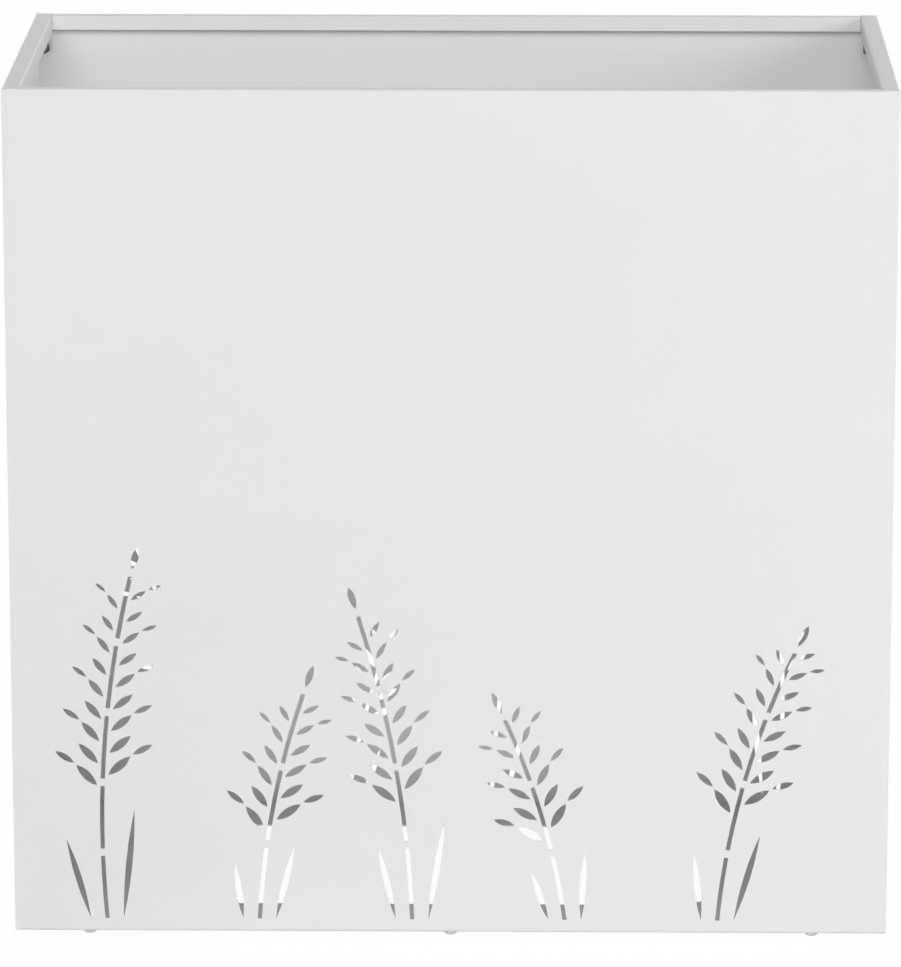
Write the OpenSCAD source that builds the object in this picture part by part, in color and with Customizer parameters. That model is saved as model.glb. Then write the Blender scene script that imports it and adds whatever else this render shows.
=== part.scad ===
// Floor planter of folded sheet steel. A front and a back panel with a leafy pattern cut through
// them, two side panels and a floor plate with a large opening are bolted together from inside.
// The origin is the middle of the footprint, on the ground under the heads of the base bolts.
// X runs along the front, Y from the front to the back, and Z up.

/* [Body] */
// Width over the side panels
body_w = 800; // [600:10:1200]
// Depth from the front face to the back face
body_d = 400; // [300:10:600]
// Height of the panels
panel_h = 785; // [600:5:1000]
// Thickness of the sheet
sheet_t = 1.5; // [1:0.1:2.5]
// Inner radius of the folds
fold_r = 0.5; // [0.3:0.1:1.5]
// Gap between neighbouring edges of two panels
edge_gap = 0.3; // [0.2:0.1:1]

/* [Rims and flanges] */
// Width of the rim along the top of a side panel
side_rim_w = 16; // [14:0.5:24]
// Height of the lip that hangs from a side rim
side_lip_h = 17.5; // [10:0.5:24]
// Width of the rim along the top of the front and back panels
end_rim_w = 12; // [8:0.5:20]
// Height of the lip that hangs from the front and back rims
end_lip_h = 13.5; // [6:0.5:24]
// Width of the upright flanges at the corners
corner_flange_w = 16; // [15:0.5:24]
// Width of the flanges under the floor plate
base_flange_w = 20; // [18:0.5:30]
// Height of the relief slot between the upright flange and the rim
relief_h = 1; // [0.5:0.1:3]

/* [Floor plate] */
// Width of the floor left at each end of its opening
floor_end_w = 150; // [80:5:200]
// Width of the floor left at the front and the back of its opening
floor_side_w = 75; // [50:5:90]
// Radius of the opening's corners
opening_r = 50; // [10:5:50]
// Gap between the floor plate and the folds around it
floor_gap = 0.5; // [0.2:0.1:2]

/* [Leaf pattern] */
// Distance between the stems of two neighbouring sprigs
sprig_pitch = 140; // [130:1:180]
// Distance from the outermost stem's foot to the end of the panel, at least
sprig_margin = 110; // [100:1:160]
// Height of a sprig's foot above the panel's lower edge
foot_h = 12; // [8:1:40]
// Width of a stem's slot
stem_w = 4; // [3:0.5:5]
// Length of the web left where a stem's slot is broken
bridge_l = 7; // [5:0.5:15]
// Longest stretch of a stem's slot
slot_l = 78; // [50:1:100]
// Distance between two pairs of leaves along the stem
leaf_pitch = 21; // [20:0.5:30]
// Length of the lowest leaves of a sprig
leaf_l = 27; // [18:0.5:29]
// Width of the lowest leaves of a sprig
leaf_w = 8; // [5:0.5:9]
// Web left between the stem and its leaves
leaf_web = 3; // [2.5:0.5:5]
// Length of the blades beside the longest stem
blade_l = 92; // [50:1:100]
// Width of the blades
blade_w = 6; // [4:0.5:8]
// Distance of the blades' feet from the stem's foot
blade_gap = 15; // [12:1:24]

/* [Fasteners] */
// Outer diameter of the threads
thread_d = 6; // [4:0.5:7]
// How much wider than the thread its holes in the sheets are
hole_play = 0.6; // [0.4:0.1:1]
// Width across the flats of the nuts and bolt heads
hex_af = 10; // [9:0.5:12]
// Height of the nuts
nut_h = 5; // [4:0.1:6]
// Height of the bolt heads, which the planter stands on
head_h = 4; // [3:0.1:6]
// Outer diameter of the washers
washer_d = 12; // [11:0.5:14]
// Thickness of the washers
washer_t = 1.6; // [1:0.1:2]
// How much wider than the thread the washers' bore is
washer_play = 0.4; // [0.3:0.1:0.8]
// Radial play between a thread and its nut
thread_play = 0.05; // [0.02:0.01:0.1]
// Length of thread that stands out of a nut
thread_proud = 2.4; // [1:0.1:5]
// Gap between a corner nut and the side panel's fold
nut_gap = 1; // [0.5:0.1:2]
// Distance of the highest and lowest studs from the panel's ends
stud_end = 32; // [30:1:80]
// Number of studs at each corner
stud_count = 4; // [2:1:6]
// Distance of the outer base bolts from the ends of the front panel
bolt_end = 68; // [40:1:120]
// Number of base bolts along the front, and along the back
bolt_count = 3; // [2:1:5]

/* [Hidden] */
$fn = 96;
fold_out = sheet_t + fold_r;
top_z = head_h + panel_h;
floor_z = head_h + sheet_t;
rim_half = body_w / 2 - side_rim_w - edge_gap;
flange_half = body_w / 2 - sheet_t - edge_gap;
side_half = body_d / 2 - sheet_t - edge_gap;
side_fold_half = body_d / 2 - sheet_t - fold_out;
side_base_half = body_d / 2 - base_flange_w - edge_gap;
upright_low = floor_z + sheet_t + edge_gap;
upright_high = top_z - side_lip_h - edge_gap;
stud_x = body_w / 2 - fold_out - nut_gap - hex_af / 2;
stud_step = (panel_h - 2 * stud_end) / (stud_count - 1);
stud_l = sheet_t + nut_h + thread_proud;
bolt_step = (body_w - 2 * bolt_end) / (bolt_count - 1);
bolt_inset = base_flange_w / 2;
bolt_l = 2 * sheet_t + washer_t + nut_h + thread_proud;
hole_d = thread_d + hole_play;
opening_w = body_w - 2 * floor_end_w;
opening_d = body_d - 2 * floor_side_w;
cut_over = 2;
rod_chamfer = 0.7;
hex_face_share = 0.95;
panel_colour = [0.91, 0.91, 0.90];
steel_colour = [0.36, 0.36, 0.36];

// The sprigs take these forms in turn: length of the stem, lean of its foot to the right
// in degrees, and radius of its curve, positive where it bends to the right.
sprig_kinds = [
    [334, -5, 1000],
    [226, 3, 800],
    [300, -2, -1100],
    [206, -8, -700],
    [272, 5, 760]
];
sprig_side = floor((body_w / 2 - sprig_margin) / sprig_pitch);
leaf_angle = 46;
leaf_shrink = 0.45;
outer_share = 0.75;
outer_turn = 14;
tip_share = 0.8;
bare_share = 0.38;
blade_lean = 11;
blade_vary = 0.14;

// Quarter ring of one fold, in the first quadrant
module fold_2d() {
    intersection() {
        difference() {
            circle(fold_out);
            circle(fold_r);
        }
        square(fold_out);
    }
}

// Section of a panel. Its outer face is at x = 0 and its inside towards +x. A rim_w or base_w
// of 0 leaves the rim or the base flange out.
module panel_section(low, high, rim_w = 0, lip_h = 0, base_w = 0) {
    wall_low = base_w > 0 ? low + fold_out : low;
    wall_high = rim_w > 0 ? high - fold_out : high;
    translate([0, wall_low]) square([sheet_t, wall_high - wall_low]);
    if (rim_w > 0) {
        translate([fold_out, high - fold_out]) rotate(90) fold_2d();
        translate([fold_out, high - sheet_t]) square([rim_w - 2 * fold_out, sheet_t]);
        translate([rim_w - fold_out, high - fold_out]) fold_2d();
        translate([rim_w - sheet_t, high - lip_h]) square([sheet_t, lip_h - fold_out]);
    }
    if (base_w > 0) {
        translate([fold_out, low + fold_out]) rotate(180) fold_2d();
        translate([fold_out, low]) square([base_w - fold_out, sheet_t]);
    }
}

// Runs a section along X, from one x to another, with its outer face towards -Y
module run_x(from, to) {
    translate([from, -body_d / 2, 0])
        rotate([90, 0, 90]) linear_extrude(to - from) children();
}

// Runs a section along Y, from one y to another, with its outer face towards +X
module run_y(from, to) {
    translate([body_w / 2, to, 0])
        rotate([90, 0, 0]) linear_extrude(to - from) mirror([1, 0]) children();
}

// Lens-shaped leaf with its stalk end at the origin, growing along +Y
module leaf(length, width) {
    arc_r = (length * length + width * width) / (4 * width);
    translate([0, length / 2])
        intersection() {
            translate([arc_r - width / 2, 0]) circle(arc_r);
            translate([width / 2 - arc_r, 0]) circle(arc_r);
        }
}

// Heading of a stem, in degrees to the right of upright, at a length s along it
function heading(kind, s) = kind[1] + s / kind[2] * 180 / PI;

// Place of the stem's middle line at a length s along it, from its foot
function stem_point(kind, s) = [
    kind[2] * (cos(kind[1]) - cos(heading(kind, s))),
    kind[2] * (sin(heading(kind, s)) - sin(kind[1]))
];

// Slot along a stem from one length to another
module stem_slot(kind, from, to) {
    arc_r = abs(kind[2]);
    turn = (to - from) / arc_r * 180 / PI;
    start = kind[2] > 0 ? 180 - heading(kind, to) : -heading(kind, from);
    translate([kind[2] * cos(kind[1]), -kind[2] * sin(kind[1]), -cut_over])
        rotate([0, 0, start])
            rotate_extrude(angle = turn, $fn = 720)
                translate([arc_r - stem_w / 2, 0]) square([stem_w, sheet_t + 2 * cut_over]);
}

// Leaf on one side of the stem, side 1 for the right, with a smaller one beyond it if outer is true
module side_leaf(kind, s, side, size, outer) {
    translate(stem_point(kind, s))
        rotate(-heading(kind, s))
            translate([side * (stem_w / 2 + leaf_web), 0])
                rotate(-side * leaf_angle) {
                    leaf(size * leaf_l, size * leaf_w);
                    if (outer)
                        translate([0, size * leaf_l + leaf_web])
                            rotate(-side * outer_turn)
                                leaf(size * outer_share * leaf_l, size * outer_share * leaf_w);
                }
}

// Cuts of one sprig, with its foot at the origin and growing along +Y
module sprig(kind) {
    stem_l = kind[0];
    slots = ceil(stem_l / slot_l);
    slot_step = stem_l / slots;
    for (n = [0:slots - 1])
        stem_slot(kind, n * slot_step, (n + 1) * slot_step - bridge_l);
    bare_l = bare_share * stem_l;
    pairs = floor((stem_l - bare_l) / leaf_pitch);
    translate([0, 0, -cut_over]) linear_extrude(sheet_t + 2 * cut_over) {
        for (n = [0:pairs - 1], side = [-1, 1])
            side_leaf(kind, bare_l + (n + (side + 1) / 4) * leaf_pitch, side,
                1 - leaf_shrink * n / pairs, (n + side) % 2 != 0);
        translate(stem_point(kind, stem_l))
            rotate(-heading(kind, stem_l)) leaf(tip_share * leaf_l, tip_share * leaf_w);
        for (side = [-1, 1])
            translate([side * blade_gap, 0]) rotate(-side * blade_lean - kind[1])
                leaf(blade_l * stem_l / sprig_kinds[0][0] * (1 + side * blade_vary), blade_w);
    }
}

// All cuts of one panel, spread along its lower part
module leaf_pattern() {
    for (n = [-sprig_side:sprig_side])
        translate([n * sprig_pitch - sprig_pitch / 4, foot_h])
            sprig(sprig_kinds[(n + sprig_side) % len(sprig_kinds)]);
}

// Front panel, also used as the back panel when it is turned round
module end_panel() {
    color(panel_colour) difference() {
        union() {
            run_x(-rim_half, rim_half)
                panel_section(head_h, top_z, end_rim_w, end_lip_h, base_flange_w);
            for (side = [-1, 1]) mirror([side < 0 ? 1 : 0, 0, 0]) {
                run_x(rim_half, flange_half)
                    panel_section(head_h, top_z, 0, 0, base_flange_w);
                run_x(flange_half, body_w / 2)
                    panel_section(head_h, top_z);
            }
        }
        translate([0, -body_d / 2 + sheet_t, head_h]) rotate([90, 0, 0]) leaf_pattern();
        end_bolt_places() translate([0, 0, -cut_over]) cylinder(h = bolt_l, d = hole_d);
    }
}

// Side panel on the right, with an upright flange behind the front and the back panel
module side_panel() {
    color(panel_colour) difference() {
        union() {
            run_y(-side_base_half, side_base_half)
                panel_section(head_h, top_z, side_rim_w, side_lip_h, base_flange_w);
            for (side = [-1, 1]) mirror([0, side < 0 ? 1 : 0, 0]) {
                run_y(side_base_half, side_fold_half)
                    panel_section(head_h, top_z, side_rim_w, side_lip_h);
                run_y(side_fold_half, side_half)
                    panel_section(upright_high + relief_h, top_z, side_rim_w, side_lip_h);
                upright_flange();
            }
        }
        for (side = [-1, 1]) mirror([0, side < 0 ? 1 : 0, 0])
            stud_places() translate([0, 0, -cut_over]) cylinder(h = stud_l, d = hole_d);
        side_bolt_place() translate([0, 0, -cut_over]) cylinder(h = bolt_l, d = hole_d);
    }
}

// Upright flange with its fold, at the right end of the back panel
module upright_flange() {
    translate([body_w / 2, body_d / 2 - sheet_t, upright_low])
        linear_extrude(upright_high - upright_low) {
            translate([-fold_out, -fold_out]) fold_2d();
            translate([-corner_flange_w, -sheet_t]) square([corner_flange_w - fold_out, sheet_t]);
        }
}

module floor_plate() {
    edge = fold_out + floor_gap;
    color(panel_colour) difference() {
        translate([-body_w / 2 + edge, -body_d / 2 + edge, floor_z])
            cube([body_w - 2 * edge, body_d - 2 * edge, sheet_t]);
        translate([0, 0, floor_z - cut_over]) linear_extrude(sheet_t + 2 * cut_over) {
            square([opening_w - 2 * opening_r, opening_d], center = true);
            square([opening_w, opening_d - 2 * opening_r], center = true);
            for (x = [-1, 1], y = [-1, 1])
                translate([x * (opening_w / 2 - opening_r), y * (opening_d / 2 - opening_r)])
                    circle(opening_r);
        }
        for (turn = [0, 180]) rotate(turn) {
            end_bolt_places() translate([0, 0, -cut_over]) cylinder(h = bolt_l, d = hole_d);
            side_bolt_place() translate([0, 0, -cut_over]) cylinder(h = bolt_l, d = hole_d);
        }
    }
}

// The base bolts' places along the front, on the underside of the front panel's flange
module end_bolt_places() {
    for (n = [0:bolt_count - 1])
        translate([n * bolt_step - body_w / 2 + bolt_end, bolt_inset - body_d / 2, head_h])
            children();
}

// The place of the base bolt under the right side panel's flange
module side_bolt_place() {
    translate([body_w / 2 - bolt_inset, 0, head_h]) children();
}

// The studs' places on the inside of the back panel, at its right end
module stud_places() {
    for (n = [0:stud_count - 1])
        translate([stud_x, body_d / 2 - sheet_t, head_h + stud_end + n * stud_step])
            rotate([90, 0, 0]) children();
}

// Carries what is made for the back right corner to another corner
module at_corner(right, back) {
    mirror([right ? 0 : 1, 0, 0]) mirror([0, back ? 0 : 1, 0]) children();
}

// Threaded rod standing on z = 0, with its free end chamfered
module rod(length) {
    r = thread_d / 2;
    rotate_extrude() polygon([
        [0, 0], [r, 0], [r, length - rod_chamfer], [r - rod_chamfer, length], [0, length]
    ]);
}

// Hexagon with its corners turned off at the lower end, and at the upper end too if both is true
module hexagon(height, both) {
    face_r = hex_af / 2 * hex_face_share;
    turn_r = hex_af;
    drop = (turn_r - face_r) * tan(30);
    intersection() {
        cylinder(h = height, r = hex_af / 2 / cos(30), $fn = 6);
        rotate_extrude() polygon([
            [0, 0], [face_r, 0], [turn_r, drop], [turn_r, both ? height - drop : height],
            [both ? face_r : turn_r, height], [0, height]
        ]);
    }
}

module nut() {
    color(steel_colour) difference() {
        hexagon(nut_h, true);
        translate([0, 0, -cut_over])
            cylinder(h = nut_h + 2 * cut_over, d = thread_d + 2 * thread_play);
    }
}

module washer() {
    color(steel_colour) difference() {
        cylinder(h = washer_t, d = washer_d);
        translate([0, 0, -cut_over])
            cylinder(h = washer_t + 2 * cut_over, d = thread_d + washer_play);
    }
}

// Bolt with its head below z = 0
module bolt() {
    color(steel_colour) {
        translate([0, 0, -head_h]) hexagon(head_h, false);
        rod(bolt_l);
    }
}

module corner_studs() {
    color(steel_colour) stud_places() rod(stud_l);
}

// Corner nuts on the upright flange, with flats towards the side panel
module corner_nuts() {
    stud_places() translate([0, 0, sheet_t]) rotate(30) nut();
}

module base_washer() {
    translate([0, 0, 2 * sheet_t]) washer();
}

module base_nut() {
    translate([0, 0, 2 * sheet_t + washer_t]) nut();
}

end_panel();  // front_panel
rotate(180) end_panel();  // back_panel
mirror([1, 0, 0]) side_panel();  // left_side_panel
side_panel();  // right_side_panel
floor_plate();
at_corner(false, false) corner_studs();  // front_left_studs
at_corner(true, false) corner_studs();  // front_right_studs
at_corner(false, true) corner_studs();  // back_left_studs
at_corner(true, true) corner_studs();  // back_right_studs
at_corner(false, false) corner_nuts();  // front_left_corner_nuts
at_corner(true, false) corner_nuts();  // front_right_corner_nuts
at_corner(false, true) corner_nuts();  // back_left_corner_nuts
at_corner(true, true) corner_nuts();  // back_right_corner_nuts
end_bolt_places() bolt();  // front_base_bolts
rotate(180) end_bolt_places() bolt();  // back_base_bolts
rotate(180) side_bolt_place() bolt();  // left_base_bolt
side_bolt_place() bolt();  // right_base_bolt
end_bolt_places() base_washer();  // front_base_washers
rotate(180) end_bolt_places() base_washer();  // back_base_washers
rotate(180) side_bolt_place() base_washer();  // left_base_washer
side_bolt_place() base_washer();  // right_base_washer
end_bolt_places() base_nut();  // front_base_nuts
rotate(180) end_bolt_places() base_nut();  // back_base_nuts
rotate(180) side_bolt_place() base_nut();  // left_base_nut
side_bolt_place() base_nut();  // right_base_nut
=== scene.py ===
from math import cos, pi, radians, sin, tau

import bmesh
import bpy
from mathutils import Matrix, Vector


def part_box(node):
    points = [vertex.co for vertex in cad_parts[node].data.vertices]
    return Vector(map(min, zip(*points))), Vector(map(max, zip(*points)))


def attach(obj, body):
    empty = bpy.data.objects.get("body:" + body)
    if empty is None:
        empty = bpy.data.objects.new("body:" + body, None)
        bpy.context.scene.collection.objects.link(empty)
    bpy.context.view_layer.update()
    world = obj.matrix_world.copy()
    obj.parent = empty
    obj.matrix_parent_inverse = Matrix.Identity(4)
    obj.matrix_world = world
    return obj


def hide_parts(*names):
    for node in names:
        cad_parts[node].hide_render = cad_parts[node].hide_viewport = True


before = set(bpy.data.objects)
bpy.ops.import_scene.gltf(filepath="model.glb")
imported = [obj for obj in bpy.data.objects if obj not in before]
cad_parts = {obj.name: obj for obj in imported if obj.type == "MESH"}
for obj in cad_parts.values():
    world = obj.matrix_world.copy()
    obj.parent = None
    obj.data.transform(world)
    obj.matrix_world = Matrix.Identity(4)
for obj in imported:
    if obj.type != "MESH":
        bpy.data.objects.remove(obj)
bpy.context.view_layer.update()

scene = bpy.context.scene
mm = 0.001
print("frame loaded with", len(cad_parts), "nodes")


# Camera, in front of the planter and above its rim, looking down on it

cameraSet = {
    "place": (0.078, -5.700, 1.793),
    "tilt": 13.93,       # degrees below level
    "turn": 0.81,        # degrees to the left
    "lens": 233.7,
    "far": 200.0,
}


def makeCamera():
    lens = bpy.data.cameras.new("camera")
    lens.lens = cameraSet["lens"]
    lens.clip_end = cameraSet["far"]
    camera = bpy.data.objects.new("camera", lens)
    camera.location = cameraSet["place"]
    camera.rotation_euler = (radians(90 - cameraSet["tilt"]), 0, radians(cameraSet["turn"]))
    scene.collection.objects.link(camera)
    scene.camera = camera


# Materials, all on Object coordinates

# part of the noise's range that is spread over a colour or a roughness
noiseRange = {"low": 0.3, "high": 0.7}


def newMaterial(name):
    material = bpy.data.materials.new(name)
    material.use_nodes = True
    tree = material.node_tree
    return material, tree, tree.nodes["Principled BSDF"]


def objectNoise(tree, scale, detail):
    place = tree.nodes.new("ShaderNodeTexCoord")
    noise = tree.nodes.new("ShaderNodeTexNoise")
    noise.inputs["Scale"].default_value = scale
    noise.inputs["Detail"].default_value = detail
    tree.links.new(place.outputs["Object"], noise.inputs["Vector"])
    return noise.outputs["Fac"]


def colourSpread(tree, source, dark, light):
    ramp = tree.nodes.new("ShaderNodeValToRGB")
    ramp.color_ramp.elements[0].position = noiseRange["low"]
    ramp.color_ramp.elements[1].position = noiseRange["high"]
    ramp.color_ramp.elements[0].color = (*dark, 1)
    ramp.color_ramp.elements[1].color = (*light, 1)
    tree.links.new(source, ramp.inputs["Fac"])
    return ramp.outputs["Color"]


def valueSpread(tree, source, low, high):
    spread = tree.nodes.new("ShaderNodeMapRange")
    spread.inputs["From Min"].default_value = noiseRange["low"]
    spread.inputs["From Max"].default_value = noiseRange["high"]
    spread.inputs["To Min"].default_value = low
    spread.inputs["To Max"].default_value = high
    tree.links.new(source, spread.inputs["Value"])
    return spread.outputs["Result"]


def bumpOf(tree, source, strength, depth, under=None):
    bump = tree.nodes.new("ShaderNodeBump")
    bump.inputs["Strength"].default_value = strength
    bump.inputs["Distance"].default_value = depth
    tree.links.new(source, bump.inputs["Height"])
    if under:
        tree.links.new(under, bump.inputs["Normal"])
    return bump.outputs["Normal"]


coatSet = {
    "dark": (0.800, 0.801, 0.783),
    "light": (0.822, 0.823, 0.804),
    "cloudScale": 2.2,     # slow drift of the tone, per metre
    "cloudDetail": 3,
    "peelScale": 420,      # orange peel, about 2.5 mm across
    "peelDetail": 1,
    "peelStrength": 0.5,
    "peelDepth": 0.05 * mm,
    "grainScale": 2400,    # powder grain, about 0.4 mm
    "grainDetail": 2,
    "grainStrength": 0.4,
    "grainDepth": 0.012 * mm,
    "smooth": 0.56,
    "rough": 0.66,
    "shine": 0.30,         # specular level
}


def makeCoat():
    coat, tree, shader = newMaterial("powderCoat")
    cloud = objectNoise(tree, coatSet["cloudScale"], coatSet["cloudDetail"])
    peel = objectNoise(tree, coatSet["peelScale"], coatSet["peelDetail"])
    grain = objectNoise(tree, coatSet["grainScale"], coatSet["grainDetail"])
    colour = colourSpread(tree, cloud, coatSet["dark"], coatSet["light"])
    tree.links.new(colour, shader.inputs["Base Color"])
    roughness = valueSpread(tree, grain, coatSet["smooth"], coatSet["rough"])
    tree.links.new(roughness, shader.inputs["Roughness"])
    shader.inputs["Specular IOR Level"].default_value = coatSet["shine"]
    wavy = bumpOf(tree, peel, coatSet["peelStrength"], coatSet["peelDepth"])
    fine = bumpOf(tree, grain, coatSet["grainStrength"], coatSet["grainDepth"], wavy)
    tree.links.new(fine, shader.inputs["Normal"])
    return coat


steelSets = {
    "darkSteel": {
        "dark": (0.10, 0.10, 0.095),
        "light": (0.19, 0.19, 0.18),
        "smooth": 0.30,
        "rough": 0.48,
    },
    "plainSteel": {
        "dark": (0.24, 0.24, 0.235),
        "light": (0.36, 0.36, 0.35),
        "smooth": 0.28,
        "rough": 0.45,
    },
    "zincSteel": {
        "dark": (0.44, 0.445, 0.45),
        "light": (0.60, 0.60, 0.59),
        "smooth": 0.26,
        "rough": 0.42,
    },
}
# fine marks that all the steels share
steelGrain = {
    "patchScale": 520,     # mottling of the plating, about 2 mm
    "patchDetail": 3,
    "markScale": 3800,     # tool marks
    "markDetail": 2,
    "markStrength": 0.4,
    "markDepth": 0.01 * mm,
}


def makeSteel(name):
    values = steelSets[name]
    steel, tree, shader = newMaterial(name)
    patch = objectNoise(tree, steelGrain["patchScale"], steelGrain["patchDetail"])
    mark = objectNoise(tree, steelGrain["markScale"], steelGrain["markDetail"])
    colour = colourSpread(tree, patch, values["dark"], values["light"])
    tree.links.new(colour, shader.inputs["Base Color"])
    shader.inputs["Metallic"].default_value = 1.0
    roughness = valueSpread(tree, patch, values["smooth"], values["rough"])
    tree.links.new(roughness, shader.inputs["Roughness"])
    marked = bumpOf(tree, mark, steelGrain["markStrength"], steelGrain["markDepth"])
    tree.links.new(marked, shader.inputs["Normal"])
    return steel


# Shapes

meshSet = {
    "weld": 0.001 * mm,
    "flatAngle": 0.4,      # degrees below which two faces count as one flat face
    "smoothAngle": 32,     # degrees below which an edge is shaded smooth
}


def weldedCopy(node):
    bm = bmesh.new()
    bm.from_mesh(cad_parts[node].data)
    bmesh.ops.remove_doubles(bm, verts=bm.verts, dist=meshSet["weld"])
    flat = radians(meshSet["flatAngle"])
    bmesh.ops.dissolve_limit(bm, angle_limit=flat, verts=bm.verts, edges=bm.edges)
    return bm


def sharpEdges(bm, least):
    folds = [e for e in bm.edges if len(e.link_faces) == 2]
    return [e for e in folds if e.calc_face_angle() > radians(least)]


def addPiece(name, bm, node, material):
    mesh = bpy.data.meshes.new(name)
    bm.to_mesh(mesh)
    bm.free()
    mesh.polygons.foreach_set("use_smooth", [True] * len(mesh.polygons))
    mesh.set_sharp_from_angle(angle=radians(meshSet["smoothAngle"]))
    mesh.materials.clear()
    mesh.materials.append(material)
    piece = bpy.data.objects.new(name, mesh)
    scene.collection.objects.link(piece)
    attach(piece, "root")
    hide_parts(node)
    return piece


# Sheets, with the small round that the powder coat leaves on every cut edge

sheetSet = {
    "pieces": {
        "frontPanel": "front_panel",
        "backPanel": "back_panel",
        "leftSidePanel": "left_side_panel",
        "rightSidePanel": "right_side_panel",
        "floorPlate": "floor_plate",
    },
    "edgeRound": 0.4 * mm,
    "edgeSteps": 2,
    "leastAngle": 34,      # degrees between two faces whose edge is rounded
}


def makeSheets(coat):
    for name, node in sheetSet["pieces"].items():
        piece = addPiece(name, weldedCopy(node), node, coat)
        edge = piece.modifiers.new("edge", "BEVEL")
        edge.width = sheetSet["edgeRound"]
        edge.segments = sheetSet["edgeSteps"]
        edge.limit_method = "ANGLE"
        edge.angle_limit = radians(sheetSet["leastAngle"])
        edge.harden_normals = True
    print("sheets made")


# Fasteners, with a real helix on every thread

threadSet = {
    "outer": 3.0 * mm,     # radius over the thread
    "core": 2.45 * mm,     # radius at the thread's root
    "pitch": 1.0 * mm,
    "halfBase": 0.43 * mm,
    "sunk": 0.1 * mm,      # how far the thread's foot reaches into the core
    "stepsPerTurn": 20,
    "start": 0.5 * mm,     # plain length beside the head or the weld
    "end": 0.9 * mm,       # plain length at the free end
    "slack": 0.01 * mm,    # tells the points on the rod from those on the head
}
edgeSet = {"round": 0.14 * mm, "steps": 2, "leastAngle": 20}


def islandsOf(bm):
    seen = set()
    groups = []
    for first in bm.verts:
        if first in seen:
            continue
        seen.add(first)
        waiting = [first]
        group = []
        while waiting:
            vert = waiting.pop()
            group.append(vert)
            for edge in vert.link_edges:
                other = edge.other_vert(vert)
                if other not in seen:
                    seen.add(other)
                    waiting.append(other)
        groups.append(group)
    return groups


def middleOf(verts):
    places = [v.co for v in verts]
    low = Vector(min(p[i] for p in places) for i in range(3))
    high = Vector(max(p[i] for p in places) for i in range(3))
    return (low + high) / 2, low, high


def helix(foot, along, length):
    bm = bmesh.new()
    across = along.orthogonal().normalized()
    root = threadSet["core"] - threadSet["sunk"]
    half = threadSet["halfBase"]
    profile = [(root, -half), (threadSet["outer"], 0), (root, half)]
    ring = [bm.verts.new(foot + across * r + along * (half + a)) for r, a in profile]
    edges = [bm.edges.new((ring[i], ring[(i + 1) % 3])) for i in range(3)]
    turns = (length - 2 * half) / threadSet["pitch"]
    steps = round(turns * threadSet["stepsPerTurn"])
    first = bm.faces.new(ring)
    bmesh.ops.spin(
        bm, geom=ring + edges + [first], cent=foot, axis=along, angle=tau * turns, steps=steps,
        dvec=along * (turns * threadSet["pitch"] / steps),
    )
    bmesh.ops.recalc_face_normals(bm, faces=bm.faces)
    mesh = bpy.data.meshes.new("helix")
    bm.to_mesh(mesh)
    bm.free()
    return mesh


def threadRod(bm, verts, axis, rodStart, rodEnd):
    middle = middleOf(verts)[0]
    along = Vector((0, 0, 0))
    along[axis] = 1 if rodEnd > rodStart else -1
    low, high = sorted((rodStart, rodEnd))
    shrink = threadSet["core"] / threadSet["outer"]
    slack = threadSet["slack"]
    for vert in verts:
        out = vert.co - middle
        out[axis] = 0
        onRod = low - slack <= vert.co[axis] <= high + slack
        if onRod and out.length < threadSet["outer"] + slack:
            vert.co -= out * (1 - shrink)
    foot = middle.copy()
    foot[axis] = rodStart
    foot += along * threadSet["start"]
    ridge = helix(foot, along, abs(rodEnd - rodStart) - threadSet["start"] - threadSet["end"])
    bm.from_mesh(ridge)
    bpy.data.meshes.remove(ridge)


def roundEdges(bm):
    bmesh.ops.bevel(
        bm, geom=sharpEdges(bm, edgeSet["leastAngle"]), affect="EDGES", offset_type="OFFSET",
        offset=edgeSet["round"], segments=edgeSet["steps"], profile=0.5, clamp_overlap=True,
        material=-1,
    )


def makeStuds(steel):
    for end in ("front", "back"):
        for side in ("left", "right"):
            node = f"{end}_{side}_studs"
            bm = weldedCopy(node)
            low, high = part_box(node)
            start, stop = (low.y, high.y) if end == "front" else (high.y, low.y)
            for verts in islandsOf(bm):
                threadRod(bm, verts, axis=1, rodStart=start, rodEnd=stop)
            addPiece(f"{end}{side.title()}Studs", bm, node, steel)
    print("studs made")


def makeBolts(steel):
    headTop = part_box("front_panel")[0].z
    for name, node in (
        ("frontBaseBolts", "front_base_bolts"), ("backBaseBolts", "back_base_bolts"),
        ("leftBaseBolt", "left_base_bolt"), ("rightBaseBolt", "right_base_bolt"),
    ):
        bm = weldedCopy(node)
        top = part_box(node)[1].z
        roundEdges(bm)
        for verts in islandsOf(bm):
            threadRod(bm, verts, axis=2, rodStart=headTop, rodEnd=top)
        addPiece(name, bm, node, steel)
    print("bolts made")


def makeRings(names, steel):
    for name, node in names.items():
        bm = weldedCopy(node)
        roundEdges(bm)
        addPiece(name, bm, node, steel)


nutNames = {
    "frontLeftCornerNuts": "front_left_corner_nuts",
    "frontRightCornerNuts": "front_right_corner_nuts",
    "backLeftCornerNuts": "back_left_corner_nuts",
    "backRightCornerNuts": "back_right_corner_nuts",
    "frontBaseNuts": "front_base_nuts",
    "backBaseNuts": "back_base_nuts",
    "leftBaseNut": "left_base_nut",
    "rightBaseNut": "right_base_nut",
}
washerNames = {
    "frontBaseWashers": "front_base_washers",
    "backBaseWashers": "back_base_washers",
    "leftBaseWasher": "left_base_washer",
    "rightBaseWasher": "right_base_washer",
}


# Floor, sky and lamps

stageSet = {
    "floorSize": 60.0,
    "floorColour": (0.64, 0.64, 0.64),
    "floorRough": 0.9,
    "whiteShare": 0.90,    # plain white part of the floor's picture, the rest keeps the shadow
    "whiteLight": 1.06,    # makes up for the rest, so that the lit floor comes out white
    "skyLight": 0.03,
}
# the point that every lamp is turned to
lampAim = (0, -0.1, 0.4)
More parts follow.
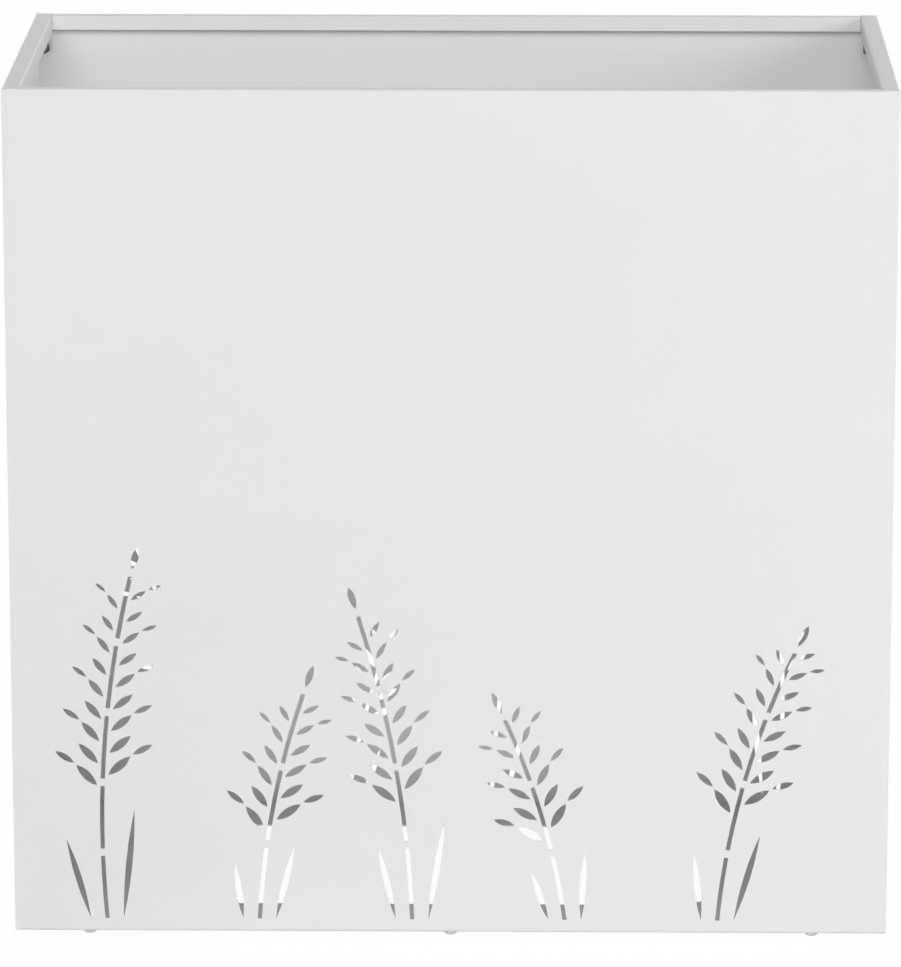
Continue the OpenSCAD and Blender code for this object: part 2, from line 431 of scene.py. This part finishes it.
# azimuth in degrees to the right of the front, height in degrees above level, distance and size
# in metres, light: 1 shows a white face that is turned to the lamp as white
lampSet = {
    "front": {"azimuth": -7, "height": 25, "distance": 40, "size": 20, "light": 0.46},
    "nearFront": {"azimuth": 20, "height": 3, "distance": 4, "size": 1.2, "light": 0.125},
    "rightFront": {"azimuth": 35, "height": 20, "distance": 10, "size": 3.9, "light": 0.07},
    "right": {"azimuth": 60, "height": 20, "distance": 10, "size": 3.9, "light": 0.335},
    "left": {"azimuth": -60, "height": 20, "distance": 14, "size": 5.5, "light": 0.055},
    "backRight": {"azimuth": 150, "height": 8, "distance": 20, "size": 5, "light": 0.155},
    "backLeft": {"azimuth": -145, "height": 8, "distance": 20, "size": 5, "light": 0.175},
    "backHigh": {"azimuth": 180, "height": 60, "distance": 14, "size": 5.5, "light": 0.26},
    # these two stay below the rim and light the left side and the back from outside alone
    "sideLow": {"azimuth": -90, "height": -2, "distance": 4, "size": 0.5, "light": 0.22},
    "backLow": {"azimuth": 180, "height": -2, "distance": 4, "size": 0.5, "light": 0.16},
}
# a little warmer than white, as the inside and the rims are lit in the photograph
warmWhite = (1, 1.007, 0.968)
warmLamps = ("backRight", "backLeft", "backHigh")
# The white ground under the floor opening, which brightens the inside
groundSet = {"size": (0.48, 0.23), "height": 2 * mm, "light": 1.04}


def seenRay(tree):
    path = tree.nodes.new("ShaderNodeLightPath")
    either = tree.nodes.new("ShaderNodeMath")
    either.operation = "MAXIMUM"
    tree.links.new(path.outputs["Is Camera Ray"], either.inputs[0])
    tree.links.new(path.outputs["Is Glossy Ray"], either.inputs[1])
    both = tree.nodes.new("ShaderNodeMath")
    both.operation = "MAXIMUM"
    tree.links.new(either.outputs[0], both.inputs[0])
    tree.links.new(path.outputs["Is Transmission Ray"], both.inputs[1])
    return both.outputs[0]


def makeFloor():
    material, tree, shader = newMaterial("studioFloor")
    shader.inputs["Base Color"].default_value = (*stageSet["floorColour"], 1)
    shader.inputs["Roughness"].default_value = stageSet["floorRough"]
    shader.inputs["Specular IOR Level"].default_value = 0
    white = tree.nodes.new("ShaderNodeEmission")
    white.inputs["Strength"].default_value = stageSet["whiteLight"]
    share = tree.nodes.new("ShaderNodeMath")
    share.operation = "MULTIPLY"
    share.inputs[1].default_value = stageSet["whiteShare"]
    tree.links.new(seenRay(tree), share.inputs[0])
    mix = tree.nodes.new("ShaderNodeMixShader")
    tree.links.new(share.outputs[0], mix.inputs["Fac"])
    tree.links.new(shader.outputs["BSDF"], mix.inputs[1])
    tree.links.new(white.outputs["Emission"], mix.inputs[2])
    tree.links.new(mix.outputs["Shader"], tree.nodes["Material Output"].inputs["Surface"])
    bm = bmesh.new()
    bmesh.ops.create_grid(bm, x_segments=1, y_segments=1, size=stageSet["floorSize"] / 2)
    mesh = bpy.data.meshes.new("studioFloor")
    bm.to_mesh(mesh)
    bm.free()
    mesh.materials.append(material)
    floor = bpy.data.objects.new("studioFloor", mesh)
    scene.collection.objects.link(floor)


def makeSky():
    sky = bpy.data.worlds.new("studioSky")
    sky.use_nodes = True
    tree = sky.node_tree
    light = tree.nodes["Background"]
    light.inputs["Color"].default_value = (1, 1, 1, 1)
    light.inputs["Strength"].default_value = stageSet["skyLight"]
    white = tree.nodes.new("ShaderNodeBackground")
    white.inputs["Color"].default_value = (1, 1, 1, 1)
    mix = tree.nodes.new("ShaderNodeMixShader")
    tree.links.new(seenRay(tree), mix.inputs["Fac"])
    tree.links.new(light.outputs["Background"], mix.inputs[1])
    tree.links.new(white.outputs["Background"], mix.inputs[2])
    tree.links.new(mix.outputs["Shader"], tree.nodes["World Output"].inputs["Surface"])
    scene.world = sky


def makeLamps():
    for name, values in lampSet.items():
        lamp = bpy.data.lights.new(name, "AREA")
        lamp.size = values["size"]
        lamp.energy = values["light"] * (pi * values["distance"]) ** 2
        if name in warmLamps:
            lamp.color = warmWhite
        turn, rise = radians(values["azimuth"]), radians(values["height"])
        back = Vector((sin(turn) * cos(rise), -cos(turn) * cos(rise), sin(rise)))
        holder = bpy.data.objects.new(name, lamp)
        holder.location = Vector(lampAim) + back * values["distance"]
        holder.rotation_euler = (-back).to_track_quat("-Z", "Y").to_euler()
        scene.collection.objects.link(holder)


def makeGroundLight():
    glow = bpy.data.lights.new("groundGlow", "AREA")
    glow.shape = "RECTANGLE"
    glow.size, glow.size_y = groundSet["size"]
    glow.energy = groundSet["light"] * pi * glow.size * glow.size_y
    glow.color = warmWhite
    holder = bpy.data.objects.new("groundGlow", glow)
    holder.location = (0, 0, groundSet["height"])
    holder.rotation_euler = (pi, 0, 0)
    scene.collection.objects.link(holder)


makeCamera()
makeSheets(makeCoat())
darkSteel = makeSteel("darkSteel")
zincSteel = makeSteel("zincSteel")
makeStuds(makeSteel("plainSteel"))
makeBolts(zincSteel)
makeRings(nutNames, darkSteel)
makeRings(washerNames, zincSteel)
print("nuts and washers made")
makeFloor()
makeSky()
makeLamps()
makeGroundLight()
scene.view_settings.view_transform = "Standard"
print("stage made")
